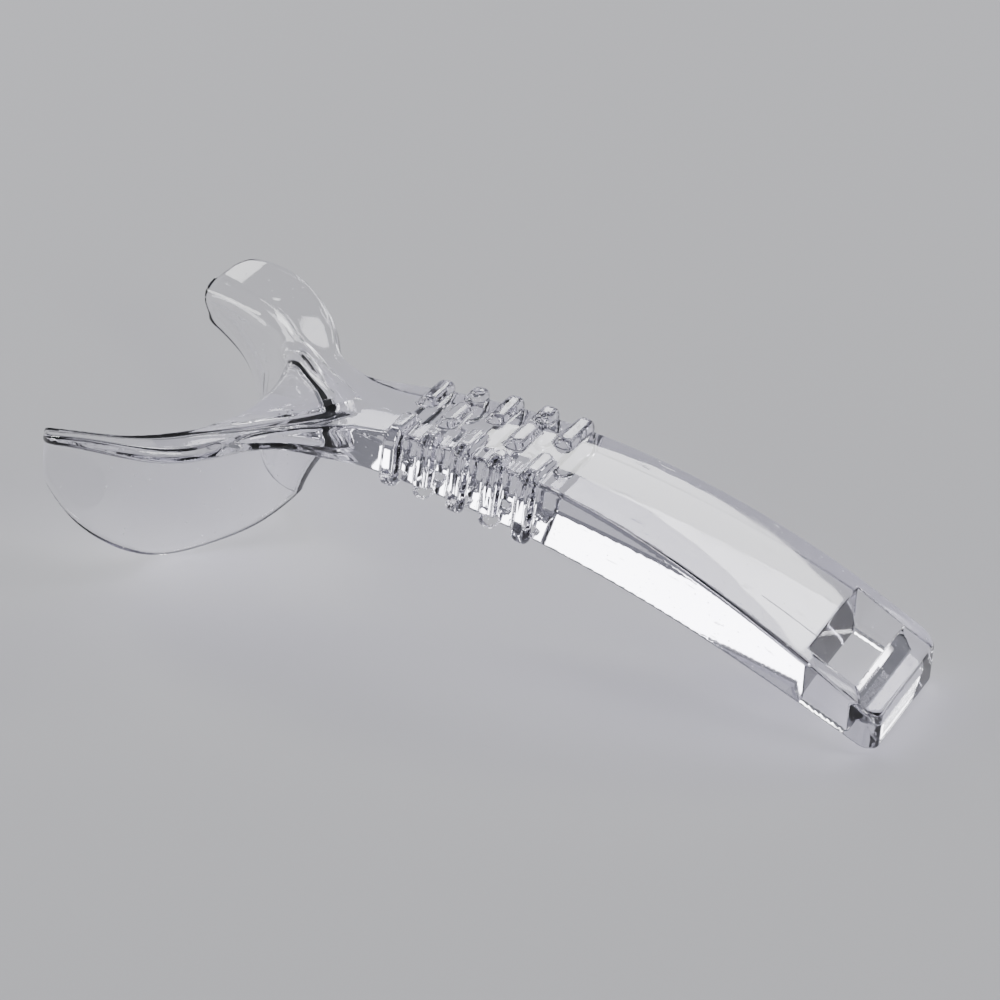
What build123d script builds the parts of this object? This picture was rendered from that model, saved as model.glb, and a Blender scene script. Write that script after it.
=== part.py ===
from build123d import *
import math
import os

# Hand-held cheek and lip retractor, one clear moulding.
# +X runs from the fork to the tail of the handle, +Z is up, and the retractor lies on its two
# blade rims and on the lower edge of its tail. The origin is under the middle of the bounding box.

# ---- overall ----
TAIL_X = 63.2             # tail end face
FORK_CENTRE_X = -60.3     # axis that both wings curl round
NECK_X = -26.0            # neck meets the yoke
GRIP_START_X = -17.6
GRIP_END_X = 9.4
SLOT_START_X = 51.0
SLOT_END_X = 58.6

# ---- handle ----
HANDLE_TOP = [(-26, 24.6), (-15, 26.15), (-4, 26.65), (7, 25.95), (18, 24.1),
              (28.5, 21.35), (39.5, 17.5), (50, 12.95), (TAIL_X, 6.2)]
HANDLE_BOTTOM = [(-26, 19.1), (-15, 18.55), (-4, 17.65), (7, 16.2), (18, 14.2),
                 (28.5, 11.8), (39.5, 8.7), (50, 5.15), (TAIL_X, 0)]
HANDLE_HALF_WIDTH = [(-26, 7.75), (-15, 7.85), (-4, 8.3), (7, 9.0), (28.5, 10.65),
                     (50, 12.1), (TAIL_X, 12.5)]
LONG_EDGE_RADIUS = 0.65
TAIL_CORNER_RADIUS = 2.2
SLOT_HALF_WIDTH = 9.25
SLOT_DRAFT = 0.2          # how far each slot wall steps in at the mid parting line
SLOT_PARTING_Z = 5.8
SLOT_CUT_LOW_Z = -6
SLOT_CUT_HIGH_Z = 20

# ---- grip ribs ----
RIB_ROWS = 5
RIB_PITCH = 5.4
FIRST_RIB_X = -14.95
RIB_WIDTH = 3.1
RIB_HEIGHT = 1.3
RIB_CORNER_RADIUS = 2.4
RIB_EDGE_RADIUS = 1.0
ODD_ROW_GAPS = [(-2.4, 1.0)]                # one gap near the middle
EVEN_ROW_GAPS = [(-5.6, -3.6), (3.4, 5.4)]  # two gaps leave a centre bar

# ---- fork ----
# The flange is a plate that folds down into a thin blade. Both are given by cross-sections at
# these angles, in degrees, round the fork axis. 0 points along the handle, 94.5 is the wing tip.
FORK_ANGLES = (0, 13.5, 27, 40.5, 54, 67.5, 81, 94.5)
RIDGE_RADIUS = (20.0, 20.3, 20.9, 21.9, 22.5, 22.9, 23.3, 24.6)
RIDGE_HEIGHT = (22.5, 22.5, 22.4, 22.3, 22.3, 22.3, 22.2, 21.6)
EDGE_RADIUS = (34.3, 31.9, 29.1, 29.6, 30.7, 31.3, 31.2, 31.0)
EDGE_HEIGHT = (24.6, 23.9, 23.1, 23.3, 23.7, 24.8, 24.7, 22.8)
EDGE_THICKNESS = (5.5, 4.2, 2.6, 2.4, 2.3, 2.2, 1.8, 1.5)
RIDGE_THICKNESS = (2.9, 2.7, 2.2, 1.9, 1.8, 1.7, 1.6, 1.5)
# The blade runs straight back near the centre, where left and right meet in a keel. Its sections
# start a little past the centre plane and are trimmed there. Radii are of its middle surface.
BLADE_ANGLES = (-6, 0, 13.5, 27, 40.5, 54, 67.5, 81, 94.5)
BLADE_TOP_HEIGHT = (21.5, 21.5, 21.5, 21.2, 19.7, 19.2, 19.2, 19.1, 18.5)
WALL_TOP_RADIUS = (37.4, 34.2, 27.8, 24.6, 22.9, 23.2, 23.6, 24.0, 25.3)
WALL_MIDDLE_RADIUS = (31.6, 29.4, 25.2, 22.9, 22.1, 22.6, 24.4, 25.9, 25.8)
RIM_RADIUS = (28.0, 26.7, 24.1, 21.8, 20.9, 21.7, 25.0, 27.6, 25.9)
RIM_HEIGHT = (8.2, 6.6, 3.3, 1.3, 0.3, 0.6, 3.7, 9.0, 15.2)
WALL_STRETCH = (1.45, 1.35, 1.2, 1.08, 1, 1, 1, 1, 1)    # thicker where it crosses the radius askew
BLADE_FOOT_HEIGHT = 19.2  # the blade bends out of the vertical below this
FLANGE_REACH = 37.0       # sections run out to here and the plan outline trims them
BLADE_THICKNESS = 1.4
FOLD_RADIUS = 2.4
YOKE_HALF_ANGLE = 27.0
KEEL_HALF_ANGLE = 13.5
FORK_TIP_X = -62.1
ARC_SHORTFALL = 1 - math.sqrt(0.5)    # how far a quarter circle's middle stays from its corner
LARGE = 200               # bigger than the part, for cutting
ABOVE = 40                # taller than the part
BELOW_Z = -5


def solids_of(shape):
    return ShapeList(shape.solids())


def between_x(shape, low, high):
    slab = Pos((low + high) / 2, 0, 0) * Box(high - low, LARGE, LARGE)
    return shape & slab


def spline_through(points):
    return Spline(*[Vector(*p) for p in points])


def handle_solid():
    """Bar with curved top and bottom, vertical side walls, rounded long edges and tail corners."""
    side = Plane.XZ
    top = spline_through(HANDLE_TOP)
    bottom = spline_through(HANDLE_BOTTOM)
    outline = Wire([top, Line(top @ 1, bottom @ 1), bottom, Line(bottom @ 0, top @ 0)])
    profile = side * make_face(outline)
    slab = extrude(profile, amount=ABOVE, both=True)
    left = spline_through(HANDLE_HALF_WIDTH)
    right = spline_through([(x, -w) for x, w in HANDLE_HALF_WIDTH])
    plan = make_face(Wire([left, Line(left @ 1, right @ 1), right, Line(right @ 0, left @ 0)]))
    corners = plan.vertices().filter_by(lambda v: v.X > TAIL_X - 1)
    plan = fillet(corners, TAIL_CORNER_RADIUS)
    column = Pos(0, 0, BELOW_Z) * extrude(plan, amount=ABOVE)
    return slab & column


def round_long_edges(body):
    """Rounds the edges of the top and bottom faces, but not the cut at the neck."""
    def is_long(edge):
        box = edge.bounding_box()
        return box.size.X > 1.0 or box.min.X > TAIL_X - 0.5
    edges = [e for e in body.edges() if is_long(e) and e.bounding_box().max.X > NECK_X + 0.5]
    flat = [e for e in edges if abs((e % 0.5).Z) < 0.9]
    return fillet(flat, LONG_EDGE_RADIUS)


def slot_cutter():
    """Rectangular through slot, narrowest where the two mould halves meet."""
    length = SLOT_END_X - SLOT_START_X
    middle_x = (SLOT_START_X + SLOT_END_X) / 2
    halves = []
    for z_far in (SLOT_CUT_LOW_Z, SLOT_CUT_HIGH_Z):
        near = Plane((middle_x, 0, SLOT_PARTING_Z)) * Rectangle(
            length - 2 * SLOT_DRAFT, 2 * (SLOT_HALF_WIDTH - SLOT_DRAFT))
        far = Plane((middle_x, 0, z_far)) * Rectangle(length, 2 * SLOT_HALF_WIDTH)
        halves.append(loft([near, far]))
    return halves[0] + halves[1]


def curve_height(curve, x):
    """Height of a side-profile curve at a distance along the handle."""
    low, high = 0.0, 1.0
    for _ in range(40):
        middle = (low + high) / 2
        if (curve @ middle).X < x:
            low = middle
        else:
            high = middle
    return (curve @ low).Y


def rib_row(handle, x, gaps):
    """One raised band round the grip, broken by gaps on the top and on the underside."""
    top = curve_height(spline_through(HANDLE_TOP), x)
    bottom = curve_height(spline_through(HANDLE_BOTTOM), x)
    half_width = curve_height(spline_through(HANDLE_HALF_WIDTH), x)
    outer = RectangleRounded(2 * (half_width + RIB_HEIGHT), top - bottom + 2 * RIB_HEIGHT,
                             RIB_CORNER_RADIUS)
    band_plane = Plane((x, 0, (top + bottom) / 2), x_dir=(0, 1, 0), z_dir=(1, 0, 0))
    band = extrude(band_plane * outer, amount=RIB_WIDTH / 2, both=True)
    rims = band.faces().filter_by(Axis.X).edges()
    band = fillet(rims, RIB_EDGE_RADIUS)
    band -= between_x(handle, x - RIB_WIDTH, x + RIB_WIDTH)
    end_radius = RIB_WIDTH / 2
    for low, high in gaps:
        opening = Pos(x, (low + high) / 2) * Rectangle(RIB_WIDTH + 1, high - low + 2 * end_radius)
        for end in (low - end_radius, high + end_radius):
            opening -= Pos(x, end) * Circle(end_radius)
            side = -1 if end < (low + high) / 2 else 1
            opening -= Pos(x, end + side * end_radius) * Rectangle(RIB_WIDTH + 2, 2 * end_radius)
        band -= Pos(0, 0, bottom - 5) * extrude(opening, amount=top - bottom + 10)
    return band


def at_angle(angle, wire):
    """Stands a cross-section up at its angle round the fork axis."""
    turn = math.radians(angle)
    plane = Plane((FORK_CENTRE_X, 0, 0), x_dir=(math.cos(turn), math.sin(turn), 0),
                  z_dir=(math.sin(turn), -math.cos(turn), 0))
    return plane * wire


def plate_section(index):
    """Flange and fold: straight top and underside, round knuckle towards the open fork."""
    ridge = RIDGE_RADIUS[index]
    ridge_z = RIDGE_HEIGHT[index]
    outside = FOLD_RADIUS + BLADE_THICKNESS / 2
    inside = FOLD_RADIUS - BLADE_THICKNESS / 2
    bend = Vector(ridge + outside, ridge_z)
    edge = Vector(EDGE_RADIUS[index], EDGE_HEIGHT[index])
    under_bend = bend - Vector(0, RIDGE_THICKNESS[index])
    under_edge = edge - Vector(0, EDGE_THICKNESS[index])
    beyond = (FLANGE_REACH - bend.X) / (edge.X - bend.X)
    far_top = bend + (edge - bend) * beyond
    far_under = under_bend + (under_edge - under_bend) * beyond
    foot = Vector(ridge, ridge_z - outside)
    inset = ARC_SHORTFALL * outside
    knuckle = Vector(ridge + inset, ridge_z - inset)
    inner_foot = foot + Vector(BLADE_THICKNESS, 0)
    rise = under_bend.Y - inner_foot.Y
    hollow = inner_foot + Vector(ARC_SHORTFALL * inside, (1 - ARC_SHORTFALL) * rise)
    return at_angle(FORK_ANGLES[index], Wire([
        Line(far_top, bend),
        ThreePointArc(bend, knuckle, foot),
        Line(foot, inner_foot),
        ThreePointArc(inner_foot, hollow, under_bend),
        Line(under_bend, far_under),
        Line(far_under, far_top),
    ]))


def blade_section(index):
    """Thin blade hanging from the fold, with a round rim."""
    half = BLADE_THICKNESS / 2 * WALL_STRETCH[index]
    top = Vector(WALL_TOP_RADIUS[index], BLADE_TOP_HEIGHT[index])
    foot = Vector(WALL_TOP_RADIUS[index], min(BLADE_FOOT_HEIGHT, BLADE_TOP_HEIGHT[index] - 0.1))
    rim = Vector(RIM_RADIUS[index], RIM_HEIGHT[index] + half)
    middle = Vector(WALL_MIDDLE_RADIUS[index], (foot.Y + RIM_HEIGHT[index]) / 2)
    lean = (rim - middle).normalized()
    across = Vector(-lean.Y, lean.X) * half
    level = Vector(half, 0)
    outer = Spline(foot - level, middle - level, rim - across)
    inner = Spline(foot + level, middle + level, rim + across)
    return at_angle(BLADE_ANGLES[index], Wire([
        Line(top - level, foot - level),
        outer,
        ThreePointArc(rim - across, rim + lean * half, rim + across),
        inner,
        Line(foot + level, top + level),
        Line(top + level, top - level),
    ]))


def plan_outline():
    """Left half of the fork seen from above, as far as the outer edge of the flange."""
    flare = [(NECK_X, 7.75), (-28.7, 8.8), (-31.4, 10.7), (-33.6, 13.4), (-37.1, 19.2),
             (-41.9, 25.0), (-48.1, 29.2), (-54.0, 31.0), (-58.8, 31.2), (-61.4, 29.6),
             (FORK_TIP_X, 26.5)]
    edge = spline_through(flare)
    closing = Polyline((FORK_TIP_X, 26.5), (-63.0, 15), (-50, 0), (NECK_X, 0), (NECK_X, 7.75))
    return make_face(Wire([edge] + closing.edges()))


def wedge(half_angle):
    """Everything within this angle of the handle's direction."""
    reach = LARGE / 2
    y = reach * math.tan(math.radians(half_angle))
    face = make_face(Polyline((FORK_CENTRE_X, 0), (FORK_CENTRE_X + reach, y),
                              (FORK_CENTRE_X + reach, -y), close=True))
    return Pos(0, 0, BELOW_Z) * extrude(face, amount=ABOVE)


def largest(shape):
    return max(shape.solids(), key=lambda solid: solid.volume)


def fork_nodes(neck):
    """Yoke, flanges, keel and blades. The right half mirrors the left."""
    column = Pos(0, 0, BELOW_Z) * extrude(plan_outline(), amount=ABOVE)
    plate = Solid.make_loft([plate_section(i) for i in range(len(FORK_ANGLES))]) & column
    left_half = Pos(FORK_TIP_X + ABOVE / 2, ABOVE / 2, ABOVE / 4) * Box(ABOVE, ABOVE, ABOVE)
    wall = Solid.make_loft([blade_section(i) for i in range(len(BLADE_ANGLES))])
    wall = largest((wall & left_half) - plate)
    yoke_zone = wedge(YOKE_HALF_ANGLE)
    keel_zone = wedge(KEEL_HALF_ANGLE)
    yoke_half = plate & yoke_zone
    keel_half = largest(largest((wall & keel_zone) - yoke_half) - neck)
    flange = largest(plate - yoke_zone)
    blade = largest((wall - keel_zone) - yoke_half)
    return {
        "yoke": yoke_half + mirror(yoke_half, Plane.XZ),
        "keel": keel_half + mirror(keel_half, Plane.XZ),
        "left_flange": flange,
        "right_flange": mirror(flange, Plane.XZ),
        "left_blade": blade,
        "right_blade": mirror(blade, Plane.XZ),
    }


def main():
    os.makedirs("parts", exist_ok=True)
    handle = round_long_edges(handle_solid())
    nodes = {}
    for row in range(RIB_ROWS):
        gaps = ODD_ROW_GAPS if row % 2 == 0 else EVEN_ROW_GAPS
        nodes[f"grip_rib_row_{row + 1}"] = rib_row(handle, FIRST_RIB_X + row * RIB_PITCH, gaps)
    nodes["neck"] = between_x(handle, NECK_X, GRIP_START_X)
    nodes["grip_core"] = between_x(handle, GRIP_START_X, GRIP_END_X)
    nodes["handle_shaft"] = between_x(handle, GRIP_END_X, SLOT_START_X)
    tail = between_x(handle, SLOT_START_X, SLOT_END_X) - slot_cutter()
    for side, sign in (("right", -1), ("left", 1)):
        half = Pos(SLOT_END_X, sign * LARGE / 2, 0) * Box(LARGE, LARGE, LARGE)
        nodes[f"slot_rail_{side}"] = tail & half
    nodes["end_bar"] = between_x(handle, SLOT_END_X, TAIL_X + 1)
    nodes.update(fork_nodes(nodes["neck"]))
    for name, shape in nodes.items():
        pieces = solids_of(shape)
        print(name, len(pieces), round(sum(s.volume for s in pieces), 2))
        export_step(Compound(pieces) if len(pieces) > 1 else pieces[0], f"parts/{name}.step")


main()
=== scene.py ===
import math

import bpy
import numpy as np
from mathutils import Matrix, Vector


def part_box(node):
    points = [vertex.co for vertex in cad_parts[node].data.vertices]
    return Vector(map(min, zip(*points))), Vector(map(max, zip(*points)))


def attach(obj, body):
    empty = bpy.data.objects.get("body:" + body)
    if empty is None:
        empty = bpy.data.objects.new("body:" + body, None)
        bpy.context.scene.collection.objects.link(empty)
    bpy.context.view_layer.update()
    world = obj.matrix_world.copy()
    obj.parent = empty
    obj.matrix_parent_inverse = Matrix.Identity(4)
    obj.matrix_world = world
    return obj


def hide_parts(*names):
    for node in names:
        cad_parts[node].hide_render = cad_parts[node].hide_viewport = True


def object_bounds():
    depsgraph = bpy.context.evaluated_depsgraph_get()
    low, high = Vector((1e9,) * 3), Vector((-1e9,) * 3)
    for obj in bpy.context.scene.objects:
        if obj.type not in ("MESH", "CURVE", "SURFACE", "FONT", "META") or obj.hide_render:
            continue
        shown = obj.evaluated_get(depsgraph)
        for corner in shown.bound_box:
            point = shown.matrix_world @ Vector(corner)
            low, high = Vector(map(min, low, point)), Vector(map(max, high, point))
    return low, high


# The whole retractor is one clear moulding, so it is one closed skin without inner walls.
# Its shape is a distance field in millimetres, negative inside. Each region adds a simple term,
# and the terms are joined with true round fillets, as a mould cutter leaves them.

MM = 0.001
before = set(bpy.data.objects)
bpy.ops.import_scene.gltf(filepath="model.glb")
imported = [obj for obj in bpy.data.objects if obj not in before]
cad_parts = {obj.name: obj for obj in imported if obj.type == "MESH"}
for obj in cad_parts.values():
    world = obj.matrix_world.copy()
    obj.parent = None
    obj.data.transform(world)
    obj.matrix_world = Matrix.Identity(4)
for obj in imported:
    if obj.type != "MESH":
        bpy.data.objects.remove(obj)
cad_low, cad_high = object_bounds()


def node_box(name):
    low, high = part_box(name)
    return np.array(low) / MM, np.array(high) / MM


# ---- places taken from the frame, in millimetres ----
TAIL_X = node_box("end_bar")[1][0]
TAIL_HALF_WIDTH = node_box("end_bar")[1][1]
SLOT_START_X = node_box("slot_rail_left")[0][0]
SLOT_END_X = node_box("slot_rail_left")[1][0]
NECK_X = node_box("neck")[0][0]
FORK_TIP_X = node_box("left_flange")[0][0]
RIB_BOXES = [node_box(f"grip_rib_row_{row}") for row in range(1, 6)]
RIB_XS = [(low[0] + high[0]) / 2 for low, high in RIB_BOXES]

# ---- handle ----
HANDLE_TOP = [(-26, 24.6), (-15, 26.15), (-4, 26.65), (7, 25.95), (18, 24.1),
              (28.5, 21.35), (39.5, 17.5), (50, 12.95), (TAIL_X, 6.2)]
HANDLE_BOTTOM = [(-26, 19.1), (-15, 18.55), (-4, 17.65), (7, 16.2), (18, 14.2),
                 (28.5, 11.8), (39.5, 8.7), (50, 5.15), (TAIL_X, 0)]
HANDLE_HALF_WIDTH = [(-26, 7.75), (-15, 7.85), (-4, 8.3), (7, 9.0), (28.5, 10.65),
                     (50, 12.1), (TAIL_X, TAIL_HALF_WIDTH)]
HANDLE_CROWN = 0.35
LONG_EDGE_RADIUS = 0.65
FLANGE_EDGE_RADIUS = 0.7
TAIL_CORNER_RADIUS = 2.8
SLOT_HALF_WIDTH = 9.25
SLOT_DRAFT = 0.2
SLOT_PARTING_Z = 5.8
SLOT_DRAFT_REACH = 7.0
SLOT_CORNER_RADIUS = 0.25
SLOT_EDGE_RADIUS = 0.2

# ---- ribs: tapered bars, by low and high y ----
RIB_WIDTH = 3.1
RIB_HEIGHT = 1.4
RIB_TAPER = 0.42
RIB_END_TAPER = 0.25
RIB_LEAN = 0.07
RIB_SKEW = 0.04
RIB_CORNER_RADIUS = 2.2
RIB_TOP_RADIUS = 0.5
RIB_ROOT_FILLET = 0.2
RIB_END_FLAT = 0.3
CUT_MARGIN = 6.0
ODD_ROW_BARS = [(-20, -2.4), (1.0, 20)]
EVEN_ROW_BARS = [(-20, -5.6), (-3.6, 3.4), (5.4, 20)]

# ---- fork: a flange folded down into a blade, by angle in degrees round a vertical axis ----
FORK_CENTRE_X = -60.3
FORK_ANGLES = [0, 13.5, 27, 40.5, 54, 67.5, 81, 94.5]
RIDGE_RADIUS = [20.0, 20.3, 20.9, 21.9, 22.5, 22.9, 23.3, 24.6]
RIDGE_HEIGHT = [22.5, 22.5, 22.4, 22.4, 22.5, 22.6, 22.6, 22.2]
EDGE_RADIUS = [30.2, 30.1, 29.1, 29.6, 30.7, 31.3, 31.3, 31.6]
EDGE_HEIGHT = [23.5, 23.4, 23.1, 23.3, 23.7, 24.8, 24.8, 23.4]
EDGE_THICKNESS = [4.6, 3.6, 2.6, 2.4, 2.3, 2.2, 1.8, 1.5]
RIDGE_THICKNESS = [3.1, 2.8, 2.2, 1.9, 1.8, 1.7, 1.6, 1.5]
WALL_TOP_RADIUS = [34.2, 27.8, 24.6, 22.9, 23.2, 23.6, 24.0, 25.3]
WALL_MIDDLE_RADIUS = [29.4, 25.2, 22.9, 22.1, 22.6, 24.4, 25.9, 25.8]
RIM_RADIUS = [26.7, 24.1, 21.8, 20.9, 21.7, 25.0, 27.6, 25.9]
RIM_HEIGHT = [6.6, 3.3, 1.3, 0.3, 0.6, 3.7, 9.0, 15.0]
EDGE_SLANT = 0.45
EDGE_SLANT_DEPTH = 4.0
BLADE_THICKNESS = 1.4
BLADE_FOOT_DROP = 3.0        # the blade is upright down to here below the ridge
STRAIGHT_LEG_END = 27.0      # the blade runs straight to the keel up to this angle
FOLDED_BLADE_START = 50.0    # and follows the fold from this one
FOLD_RADIUS = 2.4
LIP_RADIUS = 0.9
RIM_EDGE_RADIUS = 0.62
NECK_BLEND_START = 6.0       # the fork's top and underside turn into the handle's, from here
NECK_BLEND_END = 4.0         # before the neck's start to here after it
NECK_FLARE_RADIUS = 9.0
FLANGE_OVERRUN = 3.0
TIP_CORNER_RADIUS = 2.6
TIP_LEAN = 0.5
TIP_MIDDLE_Y = 25.3
KEEL_ROUNDING = 0.45
KEEL_RIM_END_X = NECK_X - 1
KEEL_END_X = NECK_X + 5
CEILING_RISE = 0.12
CEILING_HALF_WIDTH = 8.0
OPEN_RADIUS = 17.0

# ---- surface marks ----
GATE_MARK = (TAIL_X, -2.5, 3.0), (0.7, 6.5, 1.1)       # centre and half size
FLOW_LINE = (46.5, -6.0, 15.0), (4.4, 0.13, 6.0)

GRID_STEP = 0.38
GRID_MARGIN = 1.6
BLOCKS_AT_ONCE = 4000


# ---------------------------------------------------------------- curves
class Curve:
    """Smooth curve through a few points, straight beyond its ends."""

    def __init__(self, points, level_start=False):
        points = sorted(points)
        if level_start:
            x0 = points[0][0]
            points = [(2 * x0 - x, y) for x, y in points[3:0:-1]] + points
        self.x = np.array([p[0] for p in points], dtype=float)
        self.y = np.array([p[1] for p in points], dtype=float)
        count = len(self.x)
        gap = np.diff(self.x)
        system = np.eye(count)
        right = np.zeros(count)
        for i in range(1, count - 1):
            system[i, i - 1:i + 2] = gap[i - 1], 2 * (gap[i - 1] + gap[i]), gap[i]
            right[i] = 6 * ((self.y[i + 1] - self.y[i]) / gap[i]
                            - (self.y[i] - self.y[i - 1]) / gap[i - 1])
        self.bend = np.linalg.solve(system, right)

    def __call__(self, x):
        """Value and slope."""
        inside = np.clip(x, self.x[0], self.x[-1])
        i = np.clip(np.searchsorted(self.x, inside) - 1, 0, len(self.x) - 2)
        gap = self.x[i + 1] - self.x[i]
        b = (inside - self.x[i]) / gap
        a = 1 - b
        ya, yb, ma, mb = self.y[i], self.y[i + 1], self.bend[i], self.bend[i + 1]
        value = a * ya + b * yb + ((a ** 3 - a) * ma + (b ** 3 - b) * mb) * gap ** 2 / 6
        slope = (yb - ya) / gap + ((3 * b * b - 1) * mb - (3 * a * a - 1) * ma) * gap / 6
        return value + slope * (x - inside), slope


def round_max(a, b, radius):
    """Common part of two regions with an outside edge of that radius."""
    flat = np.minimum(np.maximum(a, b), -radius)
    return flat + np.hypot(np.maximum(a + radius, 0), np.maximum(b + radius, 0))


def round_min(a, b, radius):
    """Both regions together with an inside fillet of that radius."""
    return -round_max(-a, -b, radius)


def smooth_step(x, start, end):
    t = np.clip((x - start) / (end - start), 0, 1)
    return t * t * (3 - 2 * t)


top_curve = Curve(HANDLE_TOP)
bottom_curve = Curve(HANDLE_BOTTOM)
width_curve = Curve(HANDLE_HALF_WIDTH)


def fork_curve(values, level=True):
    return Curve(list(zip(np.radians(FORK_ANGLES), values)), level_start=level)


ridge_radius = fork_curve(RIDGE_RADIUS)
ridge_height = fork_curve(RIDGE_HEIGHT)
edge_height = fork_curve(EDGE_HEIGHT)
edge_thickness = fork_curve(EDGE_THICKNESS)
ridge_thickness = fork_curve(RIDGE_THICKNESS)
wall_top = fork_curve(WALL_TOP_RADIUS, level=False)
wall_middle = fork_curve(WALL_MIDDLE_RADIUS, level=False)
rim_radius = fork_curve(RIM_RADIUS, level=False)
rim_height = fork_curve(RIM_HEIGHT, level=False)
edge_radius = fork_curve(EDGE_RADIUS)


# ---------------------------------------------------------------- the shape
def blade_wall(angle, z):
    """Radius of the blade's middle surface at an angle and height, with its two slopes."""
    foot = ridge_height(angle)[0] - BLADE_FOOT_DROP
    rim_z = rim_height(angle)[0]
    tops = wall_top(angle)
    middles = wall_middle(angle)
    rims = rim_radius(angle)
    down = np.clip((foot - z) / (foot - rim_z), 0, 1.15)
    folded = smooth_step(angle, math.radians(STRAIGHT_LEG_END), math.radians(FOLDED_BLADE_START))
    result = []
    for top, middle, rim in zip(tops, middles, rims):
        half, full = middle - top, rim - top
        one = (1 - folded) * (4 * half - full)
        two = (1 - folded) * (2 * full - 4 * half) + folded * (8 * half - full)
        three = folded * (2 * full - 8 * half)
        result.append(top + one * down + two * down ** 2 + three * down ** 3)
        if len(result) == 1:
            lean = (one + 2 * two * down + 3 * three * down ** 2) / (rim_z - foot)
    return result[0], result[1], np.where(down > 0, lean, 0)


def top_and_underside(x, y, z, radius, angle):
    """Height above the top face and above the underside, and how far x is into the handle."""
    blend = smooth_step(x, NECK_X - NECK_BLEND_START, NECK_X + NECK_BLEND_END)
    ridge_z = ridge_height(angle)[0]
    edge_z = edge_height(angle)[0]
    reach = edge_radius(angle)[0]
    bend = ridge_radius(angle)[0] + FOLD_RADIUS + BLADE_THICKNESS / 2
    crown = HANDLE_CROWN * (1 / 3 - (y / width_curve(x)[0]) ** 2)
    ceiling = CEILING_RISE * (CEILING_HALF_WIDTH - np.minimum(y, CEILING_HALF_WIDTH))
    under_ridge_z = ridge_z - ridge_thickness(angle)[0] + ceiling
    under_edge_z = edge_z - edge_thickness(angle)[0]
    faces = []
    for at_ridge, at_edge, curve, bulge in (
        (ridge_z, edge_z, top_curve, crown),
        (under_ridge_z, under_edge_z, bottom_curve, 0),
    ):
        rise = (at_edge - at_ridge) / (reach - bend)
        flange = at_ridge + rise * (np.minimum(radius, reach + FLANGE_OVERRUN) - bend)
        bar, bar_rise = curve(x)
        height = flange * (1 - blend) + (bar + bulge) * blend
        slope = rise * (1 - blend) + bar_rise * blend
        faces.append((z - height) / np.sqrt(1 + slope ** 2))
    return faces[0], faces[1], blend


def plate_and_blade(x, y, z, radius, angle, above_top, above_under):
    """Flange with a round lip towards the open fork, and the blade that hangs from it."""
    half = BLADE_THICKNESS / 2
    ridge = ridge_radius(angle)[0]
    below_foot = z < ridge_height(angle)[0] - BLADE_FOOT_DROP
    blade_y = np.hypot(y, KEEL_ROUNDING)
    facing = np.arctan2(blade_y, x - FORK_CENTRE_X)
    wall, turn, lean = blade_wall(facing, z)
    front_slope = np.sqrt(1 + np.where(below_foot, lean, 0) ** 2)
    before_front = (np.minimum(ridge, wall - half) - radius) / front_slope
    outer = round_max(above_top, before_front, FOLD_RADIUS + half)
    plate = round_max(outer, -above_under, LIP_RADIUS)

    stretch = np.sqrt(1 + lean ** 2 + (turn / wall) ** 2)
    off = (np.hypot(x - FORK_CENTRE_X, blade_y) - wall) / stretch
    rim_z, rim_climb = rim_height(angle)
    climb = rim_climb / np.maximum(radius, 5)
    below_rim = (rim_z - z - 0.5 * lean * off) / np.sqrt(1 + climb ** 2)
    below_rim = np.where(x > KEEL_RIM_END_X, -10.0, below_rim)
    blade = round_max(np.abs(off) - half, below_rim, RIM_EDGE_RADIUS)
    blade = np.maximum(blade, outer)
    blade = np.maximum(blade, x - KEEL_END_X)
    return round_min(plate, blade, FOLD_RADIUS - half)


def plan_outline(x, y, z, radius, angle):
    """Seen from above: the handle's sides, the flared neck, the flange's edge and the tips."""
    reach = edge_radius(angle)[0]
    slant = EDGE_SLANT * np.clip(edge_height(angle)[0] - z, -1, EDGE_SLANT_DEPTH)
    neck_strip = y - width_curve(np.maximum(x, NECK_X))[0]
    fork_ring = (radius - reach - slant) / math.hypot(1, EDGE_SLANT)
    outline = round_min(neck_strip, fork_ring, NECK_FLARE_RADIUS)
    outline = round_max(outline, x - TAIL_X, TAIL_CORNER_RADIUS)
    tip = (FORK_TIP_X - x + TIP_LEAN * (y - TIP_MIDDLE_Y)) / math.hypot(1, TIP_LEAN)
    return round_max(outline, tip, TIP_CORNER_RADIUS)


def sheet_and_handle(x, y, z):
    """Handle bar, flange, fold and blades. Left and right are alike, so y is taken positive."""
    y = np.abs(y)
    radius = np.hypot(x - FORK_CENTRE_X, y)
    angle = np.arctan2(y, x - FORK_CENTRE_X)
    above_top, above_under, blend = top_and_underside(x, y, z, radius, angle)
    body = plate_and_blade(x, y, z, radius, angle, above_top, above_under)
    edge = FLANGE_EDGE_RADIUS + (LONG_EDGE_RADIUS - FLANGE_EDGE_RADIUS) * blend
    body = round_max(body, plan_outline(x, y, z, radius, angle), edge)
    return np.maximum(body, OPEN_RADIUS - radius)


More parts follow.
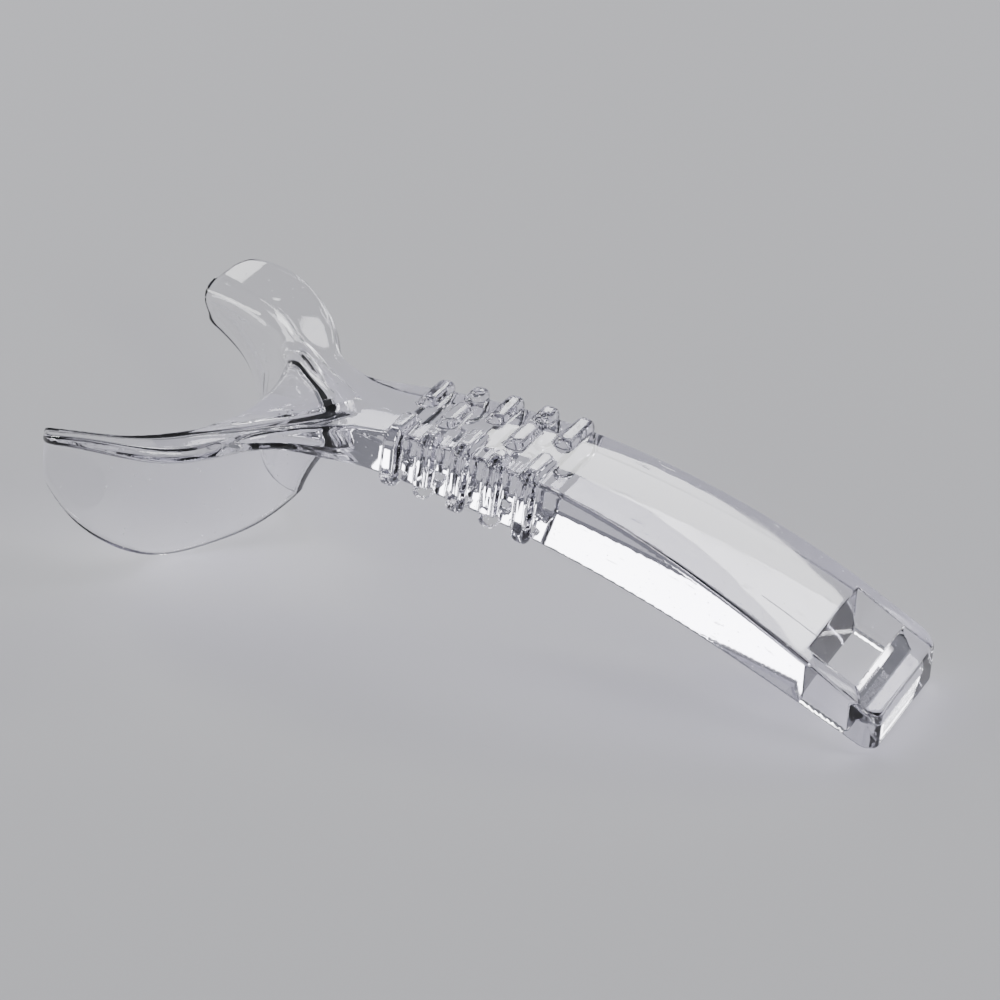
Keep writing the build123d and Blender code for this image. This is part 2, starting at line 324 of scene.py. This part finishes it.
def with_ribs(x, y, z, body):
    """Adds the rib rows: flat-topped bars wrapped round the handle, broken by short gaps."""
    top = top_curve(x)[0]
    bottom = bottom_curve(x)[0]
    side = np.abs(y) - width_curve(x)[0] - RIB_HEIGHT
    band = round_max(np.maximum(z - top, bottom - z) - RIB_HEIGHT, side, RIB_CORNER_RADIUS)
    taper = RIB_TAPER * np.clip(body, 0, RIB_HEIGHT)
    ribs = np.full_like(body, 50.0)
    for row, rib_x in enumerate(RIB_XS):
        centre = rib_x + RIB_LEAN * (z - (top + bottom) / 2) + RIB_SKEW * y
        across = np.abs(x - centre) - RIB_WIDTH / 2 + taper
        for low, high in ODD_ROW_BARS if row % 2 == 0 else EVEN_ROW_BARS:
            along = np.abs(y - (low + high) / 2) - (high - low) / 2
            along += RIB_END_TAPER * np.clip(body, 0, RIB_HEIGHT)
            bar = round_max(across, along, RIB_WIDTH / 2 - RIB_END_FLAT) / math.hypot(1, RIB_TAPER)
            ribs = np.minimum(ribs, round_max(bar, band, RIB_TOP_RADIUS))
    return round_min(body, ribs, RIB_ROOT_FILLET)


def with_slot(x, y, z, body):
    """Cuts the through slot, narrowest where the two mould halves met."""
    step = SLOT_DRAFT * (1 - np.abs(z - SLOT_PARTING_Z) / SLOT_DRAFT_REACH)
    half_length = (SLOT_END_X - SLOT_START_X) / 2 - step
    along = np.abs(x - (SLOT_START_X + SLOT_END_X) / 2) - half_length
    across = np.abs(y) - SLOT_HALF_WIDTH + step
    return round_max(body, -round_max(along, across, SLOT_CORNER_RADIUS), SLOT_EDGE_RADIUS)


def retractor(points):
    x, y, z = points[:, 0], points[:, 1], points[:, 2]
    body = sheet_and_handle(x, y, z)
    grip = (x > RIB_XS[0] - CUT_MARGIN) & (x < RIB_XS[-1] + CUT_MARGIN)
    body[grip] = with_ribs(x[grip], y[grip], z[grip], body[grip])
    tail = x > SLOT_START_X - CUT_MARGIN
    body[tail] = with_slot(x[tail], y[tail], z[tail], body[tail])
    return body


def slopes(shape, points, step=0.01):
    result = np.empty_like(points)
    for axis in range(3):
        shift = np.zeros(3)
        shift[axis] = step
        result[:, axis] = (shape(points + shift) - shape(points - shift)) / (2 * step)
    return result


# ---------------------------------------------------------------- skin of the shape
def sample_grid(shape, low, high, step):
    """Values on a grid. Far from the surface a coarse grid is enough."""
    counts = np.ceil((high - low) / step / 4).astype(int) * 4
    axes = [low[i] + step * np.arange(counts[i]) for i in range(3)]
    coarse_axes = [axis[::4] + 1.5 * step for axis in axes]
    coarse_points = np.stack(np.meshgrid(*coarse_axes, indexing="ij"), -1).reshape(-1, 3)
    coarse = shape(coarse_points)
    values = coarse.reshape([len(axis) for axis in coarse_axes])
    values = values.repeat(4, 0).repeat(4, 1).repeat(4, 2)
    near = coarse_points[np.abs(coarse) < step * 7]
    offsets = (np.indices((4, 4, 4)).reshape(3, -1).T - 1.5) * step
    for start in range(0, len(near), BLOCKS_AT_ONCE):
        block = (near[start:start + BLOCKS_AT_ONCE, None] + offsets).reshape(-1, 3)
        index = np.rint((block - low) / step).astype(int)
        values[tuple(index.T)] = shape(block)
    return values, axes


def surface_net(values, axes):
    """One point in each cell that the surface crosses, and a quad for each crossed grid edge."""
    low = np.array([axis[0] for axis in axes])
    step = axes[0][1] - axes[0][0]
    inside = values < 0
    cells = np.zeros(np.array(values.shape) - 1, dtype=np.int8)
    corners = [(i, j, k) for i in (0, 1) for j in (0, 1) for k in (0, 1)]
    shape = cells.shape
    for i, j, k in corners:
        cells += inside[i:i + shape[0], j:j + shape[1], k:k + shape[2]]
    active = np.argwhere((cells > 0) & (cells < 8))
    total = np.zeros((len(active), 3))
    crossings = np.zeros(len(active))
    for a in corners:
        for axis in range(3):
            if a[axis]:
                continue
            b = list(a)
            b[axis] = 1
            va = values[tuple((active + a).T)]
            vb = values[tuple((active + b).T)]
            crossed = (va < 0) != (vb < 0)
            place = np.repeat(np.array(a, dtype=float)[None], len(active), 0)
            place[:, axis] = np.where(crossed, va / np.where(crossed, va - vb, 1), 0)
            total += place * crossed[:, None]
            crossings += crossed
    points = low + step * (active + total / crossings[:, None])
    number = np.full(shape, -1)
    number[tuple(active.T)] = np.arange(len(active))
    quads = []
    for axis in range(3):
        first = [slice(None)] * 3
        second = [slice(None)] * 3
        first[axis] = slice(0, -1)
        second[axis] = slice(1, None)
        starts = inside[tuple(first)]
        crossed = np.argwhere(starts != inside[tuple(second)])
        u, v = [(1, 2), (2, 0), (0, 1)][axis]
        ring = []
        for du, dv in ((-1, -1), (0, -1), (0, 0), (-1, 0)):
            cell = crossed.copy()
            cell[:, u] += du
            cell[:, v] += dv
            ring.append(number[tuple(cell.T)])
        ring = np.stack(ring, 1)
        outward = starts[tuple(crossed.T)]
        ring[~outward] = ring[~outward][:, ::-1]
        quads.append(ring)
    return points, np.concatenate(quads)


def settle(shape, points, quads, rounds=4):
    """Spreads the points evenly along the surface and puts them exactly on it."""
    edges = np.concatenate([quads[:, [i, (i + 1) % 4]] for i in range(4)])
    count = np.bincount(edges.ravel(), minlength=len(points))[:, None]
    for _ in range(rounds):
        total = np.zeros_like(points)
        np.add.at(total, edges[:, 0], points[edges[:, 1]])
        np.add.at(total, edges[:, 1], points[edges[:, 0]])
        slope = slopes(shape, points)
        size = np.sqrt((slope ** 2).sum(1, keepdims=True)) + 1e-9
        normal = slope / size
        drift = total / count - points
        drift -= normal * (drift * normal).sum(1, keepdims=True)
        points = points + 0.5 * drift
        for _ in range(2):
            slope = slopes(shape, points)
            strength = (slope ** 2).sum(1) + 1e-9
            move = -(shape(points) / strength)[:, None] * slope
            points = points + np.clip(move, -0.3, 0.3)
    slope = slopes(shape, points)
    return points, slope / (np.sqrt((slope ** 2).sum(1, keepdims=True)) + 1e-9)


def skin_object(name, shape, low, high, step):
    values, axes = sample_grid(shape, low, high, step)
    points, quads = surface_net(values, axes)
    points, normals = settle(shape, points, quads)
    mesh = bpy.data.meshes.new(name)
    mesh.from_pydata((points * MM).tolist(), [], quads.tolist())
    mesh.polygons.foreach_set("use_smooth", [True] * len(mesh.polygons))
    mesh.normals_split_custom_set_from_vertices(normals.tolist())
    mesh.update()
    piece = bpy.data.objects.new(name, mesh)
    bpy.context.collection.objects.link(piece)
    return piece


# ---------------------------------------------------------------- materials
def node_tree(name):
    material = bpy.data.materials.new(name)
    material.use_nodes = True
    tree = material.node_tree
    return material, tree, tree.nodes["Principled BSDF"], tree.nodes["Material Output"]


def add_node(tree, kind, **settings):
    node = tree.nodes.new(kind)
    for key, value in settings.items():
        if hasattr(node, key):
            setattr(node, key, value)
        else:
            node.inputs[key].default_value = value
    return node


def box_mask(tree, place, centre, half):
    """One inside a small box of the part, given in millimetres, and nought outside."""
    axes = add_node(tree, "ShaderNodeSeparateXYZ")
    tree.links.new(place.outputs["Object"], axes.inputs[0])
    result = None
    for axis in range(3):
        away = add_node(tree, "ShaderNodeMath", operation="SUBTRACT")
        away.inputs[1].default_value = centre[axis] * MM
        size = add_node(tree, "ShaderNodeMath", operation="ABSOLUTE")
        inside = add_node(tree, "ShaderNodeMath", operation="LESS_THAN")
        inside.inputs[1].default_value = half[axis] * MM
        tree.links.new(axes.outputs[axis], away.inputs[0])
        tree.links.new(away.outputs[0], size.inputs[0])
        tree.links.new(size.outputs[0], inside.inputs[0])
        if result is None:
            result = inside.outputs[0]
            continue
        both = add_node(tree, "ShaderNodeMath", operation="MULTIPLY")
        tree.links.new(result, both.inputs[0])
        tree.links.new(inside.outputs[0], both.inputs[1])
        result = both.outputs[0]
    return result


POLYCARBONATE_IOR = 1.585
POLISHED, HAZED = 0.012, 0.07      # roughness of the clean and the handled plastic
MARK_ROUGHNESS = 0.5
DUST_PER_METRE = 520.0
SPECK_RADIUS, SPECK_FADE = 0.05, 0.08    # shares of the distance between specks
SPECK_CLEARNESS = 0.25


def surface_marks(tree, place):
    """Torn gate mark on the tail and a fine flow line before the slot: a height from 0 to 1."""
    grain = add_node(tree, "ShaderNodeTexNoise", Scale=3200.0, Detail=2.0)
    tree.links.new(place.outputs["Object"], grain.inputs["Vector"])
    torn = add_node(tree, "ShaderNodeMath", operation="MULTIPLY")
    tree.links.new(box_mask(tree, place, *GATE_MARK), torn.inputs[0])
    tree.links.new(grain.outputs["Fac"], torn.inputs[1])
    marks = add_node(tree, "ShaderNodeMath", operation="ADD")
    tree.links.new(torn.outputs[0], marks.inputs[0])
    tree.links.new(box_mask(tree, place, *FLOW_LINE), marks.inputs[1])
    return marks.outputs[0]


def polish(tree, place, marks):
    """Roughness: glossy with a little handling haze, and frosted where the plastic is marked."""
    haze = add_node(tree, "ShaderNodeTexNoise", Scale=60.0, Detail=4.0)
    tree.links.new(place.outputs["Object"], haze.inputs["Vector"])
    roughness = add_node(tree, "ShaderNodeMapRange")
    for socket, value in (("From Min", 0.35), ("From Max", 0.75),
                          ("To Min", POLISHED), ("To Max", HAZED)):
        roughness.inputs[socket].default_value = value
    tree.links.new(haze.outputs["Fac"], roughness.inputs["Value"])
    frosted = add_node(tree, "ShaderNodeMath", operation="MULTIPLY_ADD")
    frosted.inputs[1].default_value = MARK_ROUGHNESS
    tree.links.new(marks, frosted.inputs[0])
    tree.links.new(roughness.outputs["Result"], frosted.inputs[2])
    return frosted.outputs[0]


def relief(tree, place, marks):
    """Normal: soft moulding waves, fine scratches and the raised marks."""
    link = tree.links.new
    waves = add_node(tree, "ShaderNodeTexNoise", Scale=110.0, Detail=1.0)
    link(place.outputs["Object"], waves.inputs["Vector"])
    soft = add_node(tree, "ShaderNodeBump", Strength=0.05, Distance=0.0006)
    link(waves.outputs["Fac"], soft.inputs["Height"])

    stretch = add_node(tree, "ShaderNodeMapping")
    stretch.inputs["Scale"].default_value = (60, 900, 900)
    stretch.inputs["Rotation"].default_value = (0, 0, 0.5)
    link(place.outputs["Object"], stretch.inputs["Vector"])
    scratch = add_node(tree, "ShaderNodeTexNoise", Scale=1.0, Detail=2.0)
    link(stretch.outputs["Vector"], scratch.inputs["Vector"])
    line = add_node(tree, "ShaderNodeMapRange")
    line.inputs["From Min"].default_value = 0.70
    line.inputs["From Max"].default_value = 0.76
    link(scratch.outputs["Fac"], line.inputs["Value"])
    fine = add_node(tree, "ShaderNodeBump", Strength=0.12, Distance=0.00005)
    link(line.outputs["Result"], fine.inputs["Height"])
    link(soft.outputs["Normal"], fine.inputs["Normal"])

    raised = add_node(tree, "ShaderNodeBump", Strength=0.5, Distance=0.0001)
    link(marks, raised.inputs["Height"])
    link(fine.outputs["Normal"], raised.inputs["Normal"])
    return raised.outputs["Normal"]


def dust(tree, place):
    """Clear plastic everywhere but at a few small white specks."""
    specks = add_node(tree, "ShaderNodeTexVoronoi", Scale=DUST_PER_METRE)
    tree.links.new(place.outputs["Object"], specks.inputs["Vector"])
    clear = add_node(tree, "ShaderNodeMapRange")
    for socket, value in (("From Min", SPECK_RADIUS), ("From Max", SPECK_FADE),
                          ("To Min", SPECK_CLEARNESS)):
        clear.inputs[socket].default_value = value
    tree.links.new(specks.outputs["Distance"], clear.inputs["Value"])
    return clear.outputs["Result"]


def clear_plastic():
    """Polished polycarbonate with a faint violet tint, which lets most of the light through."""
    material, tree, shader, output = node_tree("clear_plastic")
    link = tree.links.new
    shader.inputs["Base Color"].default_value = (0.985, 0.98, 1.0, 1)
    shader.inputs["IOR"].default_value = POLYCARBONATE_IOR
    place = add_node(tree, "ShaderNodeTexCoord")
    marks = surface_marks(tree, place)
    link(dust(tree, place), shader.inputs["Transmission Weight"])
    link(polish(tree, place, marks), shader.inputs["Roughness"])
    link(relief(tree, place, marks), shader.inputs["Normal"])

    tint = add_node(tree, "ShaderNodeVolumeAbsorption", Density=25.0)
    tint.inputs["Color"].default_value = (0.80, 0.78, 0.93, 1)
    link(tint.outputs["Volume"], output.inputs["Volume"])

    lamp = add_node(tree, "ShaderNodeLightPath")
    through = add_node(tree, "ShaderNodeBsdfTransparent")
    through.inputs["Color"].default_value = (0.80, 0.79, 0.84, 1)
    mix = add_node(tree, "ShaderNodeMixShader")
    link(lamp.outputs["Is Shadow Ray"], mix.inputs["Fac"])
    link(shader.outputs["BSDF"], mix.inputs[1])
    link(through.outputs["BSDF"], mix.inputs[2])
    link(mix.outputs["Shader"], output.inputs["Surface"])
    return material


def table_paper():
    material, _, shader, _ = node_tree("floor_paper")
    shader.inputs["Base Color"].default_value = (0.52, 0.52, 0.54, 1)
    shader.inputs["Roughness"].default_value = 0.6
    return material


# ---------------------------------------------------------------- studio
TARGET = (0, 0, 0.01)
SOFTBOXES = [    # name, place, aim, width, height, power
    ("back_softbox", (0.0, 0.85, 0.62), TARGET, 0.7, 0.16, 4.2),
    ("left_softbox", (-0.75, 0.25, 0.55), (-0.03, 0, 0.01), 0.30, 0.45, 5),
    ("front_softbox", (0.75, -0.45, 0.55), TARGET, 0.35, 0.35, 5),
    ("rim_softbox", (-0.75, -0.45, 0.22), (-0.04, 0, 0.01), 0.55, 0.14, 3.5),
]
FLOOR_HALF_SIZE = 1.6
FLOOR_Z = -0.0001
CAMERA_PLACE = Vector((0.2567, -0.6213, 0.4189))
CAMERA_AIM = Vector((-0.0013, 0.0002, 0.0152))
CAMERA_ROLL = math.radians(4.56)
CAMERA_LENS = 195.97


def floor():
    corners = [(x * FLOOR_HALF_SIZE, y * FLOOR_HALF_SIZE, FLOOR_Z)
               for x, y in ((-1, -1), (1, -1), (1, 1), (-1, 1))]
    mesh = bpy.data.meshes.new("floor")
    mesh.from_pydata(corners, [], [(0, 1, 2, 3)])
    mesh.materials.append(table_paper())
    plane = bpy.data.objects.new("floor", mesh)
    bpy.context.collection.objects.link(plane)


def softbox(name, place, aim, width, height, power):
    data = bpy.data.lights.new(name, "AREA")
    data.shape = "RECTANGLE"
    data.size = width
    data.size_y = height
    data.energy = power
    lamp = bpy.data.objects.new(name, data)
    lamp.location = place
    lamp.rotation_euler = (Vector(aim) - Vector(place)).to_track_quat("-Z", "Y").to_euler()
    bpy.context.collection.objects.link(lamp)


def soft_surroundings():
    world = bpy.data.worlds.new("studio")
    world.use_nodes = True
    background = world.node_tree.nodes["Background"]
    background.inputs["Color"].default_value = (0.9, 0.92, 1.0, 1)
    background.inputs["Strength"].default_value = 0.25
    bpy.context.scene.world = world


def camera():
    """Long lens, a little rolled, looking down on the near wing and the tail."""
    data = bpy.data.cameras.new("camera")
    data.lens = CAMERA_LENS
    data.sensor_width = 36
    data.clip_start = 0.01
    data.clip_end = 20
    eye = bpy.data.objects.new("camera", data)
    level = (CAMERA_AIM - CAMERA_PLACE).to_track_quat("-Z", "Y").to_matrix()
    turn = level @ Matrix.Rotation(CAMERA_ROLL, 3, "Z")
    eye.matrix_world = Matrix.Translation(CAMERA_PLACE) @ turn.to_4x4()
    bpy.context.collection.objects.link(eye)
    bpy.context.scene.camera = eye


# ---------------------------------------------------------------- build
body = skin_object("retractor_moulding", retractor, np.array(cad_low) / MM - GRID_MARGIN,
                   np.array(cad_high) / MM + GRID_MARGIN, GRID_STEP)
body.data.materials.append(clear_plastic())
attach(body, "root")
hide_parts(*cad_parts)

floor()
camera()
for settings in SOFTBOXES:
    softbox(*settings)
soft_surroundings()
